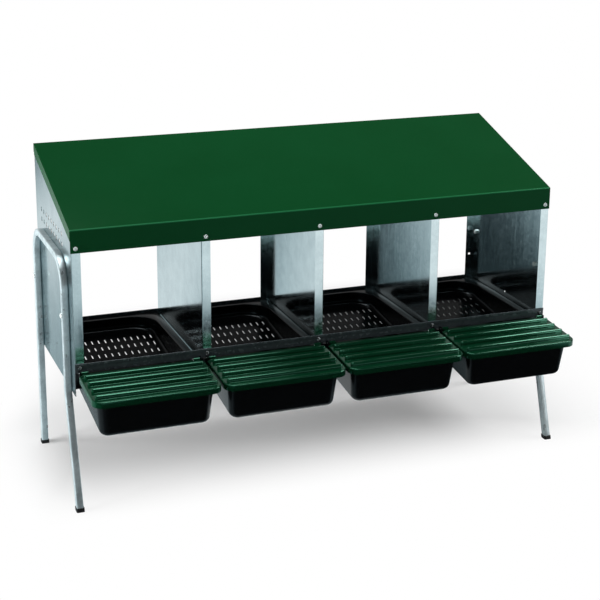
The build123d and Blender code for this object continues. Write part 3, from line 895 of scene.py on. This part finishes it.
# World: by direction in gloss, one value for the other rays that light the row, white for the camera
WALL_TURN, WALL_FRONT, WALL_BACK = (-0.3, 0.3, 0.0, 1.0), 0.12, 0.8
WALL_LOW, WALL_HIGH = (0.08, 0.3, 1.0, 0.42), (0.46, 0.58, 1.0, 0.08)
WORLD_FILL, WHITE = 0.03, 1.0


class StageGraph(Graph):
    """Node tree of the floor or the world, empty at first."""

    def __init__(self, tree):
        super().__init__(tree)
        tree.nodes.clear()

    def ramp(self, value, ends):
        return self.change(value, *ends, "SMOOTHSTEP")

    def choose(self, factor, a, b):
        """Value a where the factor is 0, b where it is 1."""
        return self.node("ShaderNodeMix", {0: factor, 2: a, 3: b}).outputs[0]

    def slanted(self, x, y, start, lean):
        """Place across the row, moved by a lean for each metre behind a start."""
        return self.math("ADD", x, self.math("MULTIPLY", self.math("SUBTRACT", y, start), lean))

    def product(self, a, b):
        return self.math("MULTIPLY", a, b)

    def largest(self, *values):
        made = values[0]
        for value in values[1:]:
            made = self.math("MAXIMUM", made, value)
        return made

    def seen_by(self, kind):
        return self.node("ShaderNodeLightPath").outputs[kind]

    def diffuse(self, colour):
        return self.node("ShaderNodeBsdfDiffuse", {"Color": (*colour, 1)}).outputs[0]

    def glow(self, strength):
        return self.node("ShaderNodeEmission", {"Strength": strength}).outputs[0]

    def mix(self, factor, a, b):
        """Shader a where the factor is 0, b where it is 1."""
        return self.node("ShaderNodeMixShader", {0: factor, 1: a, 2: b}).outputs[0]

    def finish(self, kind, surface):
        self.tree.links.new(surface, self.tree.nodes.new(kind).inputs["Surface"])


def shown_floor(graph, x, y):
    """Floor for the camera: white, with a pale shadow from the lamps under the row and a painted shadow
    behind it.
    """
    across = graph.slanted(x, y, SHADOW_FROM, -SHADOW_LEAN)
    behind = graph.ramp(y, SHADOW_BEHIND)
    # Painted shadow: behind the row the floor blends to a darker grey by place, stronger towards the right
    shade = graph.product(behind, graph.ramp(across, SHADOW_DEEPER))
    lit = graph.mix(shade, graph.diffuse(FLOOR_LIT), graph.diffuse(FLOOR_SHADED))
    shadow = graph.node("ShaderNodeAddShader", {0: lit, 1: graph.glow(FLOOR_GLOW)}).outputs[0]
    right = graph.choose(behind, graph.ramp(x, SHADOW_RIGHT), graph.ramp(across, SHADOW_RIGHT_BEHIND))
    left = graph.choose(behind, graph.ramp(x, SHADOW_LEFT), graph.ramp(across, SHADOW_LEFT_BEHIND))
    ends = (graph.ramp(y, SHADOW_NEAR_END), graph.ramp(y, SHADOW_FAR_END))
    return graph.mix(graph.largest(right, left, *ends), shadow, graph.glow(WHITE))


def mirrored_floor(graph, x, y):
    """Floor for glossy rays: a bright sweep behind the row at the left and at its right, and an apron
    in front that is dark close to the row."""
    behind = graph.slanted(x, y, SWEEP_FROM, SWEEP_LEAN)
    sweep = graph.product(graph.ramp(behind, SWEEP_FADE), graph.ramp(behind, SWEEP_LEFT))
    sweep = graph.largest(sweep, graph.ramp(x, SWEEP_RIGHT))
    ahead = graph.math("SUBTRACT", graph.math("MULTIPLY", x, APRON_LEAN), y)
    apron = graph.product(graph.ramp(ahead, APRON_DARK), graph.ramp(ahead, APRON_FAR))
    apron = graph.product(apron, graph.ramp(x, APRON_ACROSS))
    corner = graph.product(graph.ramp(x, CORNER_ACROSS), graph.ramp(y, CORNER_AHEAD))
    apron = graph.largest(apron, graph.ramp(x, APRON_RIGHT), corner)
    gloss = graph.choose(graph.ramp(y, APRON_TO_SWEEP), apron, sweep)
    tint = graph.blend(gloss, GLOSS_DIM, GLOSS_BRIGHT)
    return graph.node("ShaderNodeEmission", {"Color": tint, "Strength": gloss}).outputs[0]


def floor_material():
    """Floor with one look for the camera, one in gloss and a plain grey for the light that it returns."""
    pale = bpy.data.materials.new("pale_floor")
    pale.use_nodes = True
    graph = StageGraph(pale.node_tree)
    x, y, _ = graph.split(graph.coords("Object"))
    camera_ray, glossy_ray = graph.seen_by("Is Camera Ray"), graph.seen_by("Is Glossy Ray")
    surface = graph.mix(camera_ray, graph.diffuse(FLOOR_BOUNCE), shown_floor(graph, x, y))
    surface = graph.mix(glossy_ray, surface, mirrored_floor(graph, x, y))
    graph.finish("ShaderNodeOutputMaterial", surface)
    return pale


def studio_world():
    """White for the camera, a wall that is brighter behind the row in gloss, and a weak fill."""
    world = bpy.data.worlds.new("studio")
    world.use_nodes = True
    graph = StageGraph(world.node_tree)
    _, y, z = graph.split(graph.coords("Generated"))
    wall = graph.choose(graph.ramp(y, WALL_TURN), WALL_FRONT, WALL_BACK)
    gloss = graph.product(wall, graph.product(graph.ramp(z, WALL_LOW), graph.ramp(z, WALL_HIGH)))
    strength = graph.choose(graph.seen_by("Is Glossy Ray"), WORLD_FILL, gloss)
    for kind in ("Is Camera Ray", "Is Transmission Ray"):
        strength = graph.choose(graph.seen_by(kind), strength, WHITE)
    sky = graph.node("ShaderNodeBackground", {"Color": (1, 1, 1, 1), "Strength": strength}).outputs[0]
    graph.finish("ShaderNodeOutputWorld", sky)
    return world


floor_mesh = bpy.data.meshes.new("floor")
quarters = ((-1, -1), (1, -1), (1, 1), (-1, 1))
corners = [(sx * FLOOR_REACH, sy * FLOOR_REACH, 0) for sx, sy in quarters]
floor_mesh.from_pydata(corners, [], [(0, 1, 2, 3)])
floor_mesh.materials.append(floor_material())
floor = bpy.data.objects.new("floor", floor_mesh)
bpy.context.scene.collection.objects.link(floor)
bpy.context.scene.world = studio_world()


# Lights: place, target, width and height in metres, and power in watts

LIGHTS = {
    "top_light": ((-0.25, -0.08, 2.4), (-0.1, 0.0, 0.3), 2.1, 1.05, 38.0),
    "top_right_light": ((1.75, 0.15, 2.2), (0.5, 0.05, 0.3), 0.8, 0.85, 24.0),
    "left_light": ((-2.4, 0.1, 0.5), (-0.5, 0.1, 0.5), 1.6, 0.6, 80.0),
    "right_fill": ((2.2, -1.6, 1.0), (0.5, 0.0, 0.5), 1.2, 1.2, 14.0),
}
NOT_IN_GLOSS = ("left_light",)


def softbox(name, place, target, width, height, power):
    light = bpy.data.lights.new(name, "AREA")
    light.shape = "RECTANGLE"
    light.size, light.size_y, light.energy = width, height, power
    obj = bpy.data.objects.new(name, light)
    obj.location = place
    obj.rotation_euler = (Vector(target) - Vector(place)).to_track_quat("-Z", "Y").to_euler()
    obj.visible_glossy = name not in NOT_IN_GLOSS
    bpy.context.scene.collection.objects.link(obj)


for name, settings in LIGHTS.items():
    softbox(name, *settings)


# Camera at the photo's angle. Its frame is 600 by 600, and the shift places the row in it.

CAMERA_PLACE = (-1.13699, -2.94043, 1.41674)
YAW, PITCH, ROLL = 0.3641, 0.27987, -0.00808
FOCAL_PIXELS, IMAGE_PIXELS, SENSOR = 1451.24, 600, 36.0
SHIFT_Y = -0.1
CLIP_START, CLIP_END = 0.05, 200

level = math.cos(PITCH)
forward = Vector((math.sin(YAW) * level, math.cos(YAW) * level, -math.sin(PITCH)))
level_right = Vector((math.cos(YAW), -math.sin(YAW), 0))
level_down = forward.cross(level_right)
right = level_right * math.cos(ROLL) + level_down * math.sin(ROLL)
down = level_down * math.cos(ROLL) - level_right * math.sin(ROLL)
turn = Matrix((right, -down, -forward)).transposed().to_4x4()
camera = bpy.data.cameras.new("camera")
camera.sensor_width = SENSOR
camera.lens = FOCAL_PIXELS * SENSOR / IMAGE_PIXELS
camera.shift_y = SHIFT_Y
camera.clip_start, camera.clip_end = CLIP_START, CLIP_END
view = bpy.data.objects.new("camera", camera)
bpy.context.scene.collection.objects.link(view)
view.matrix_world = Matrix.Translation(CAMERA_PLACE) @ turn
bpy.context.scene.camera = view
bpy.context.scene.view_settings.view_transform = "Standard"
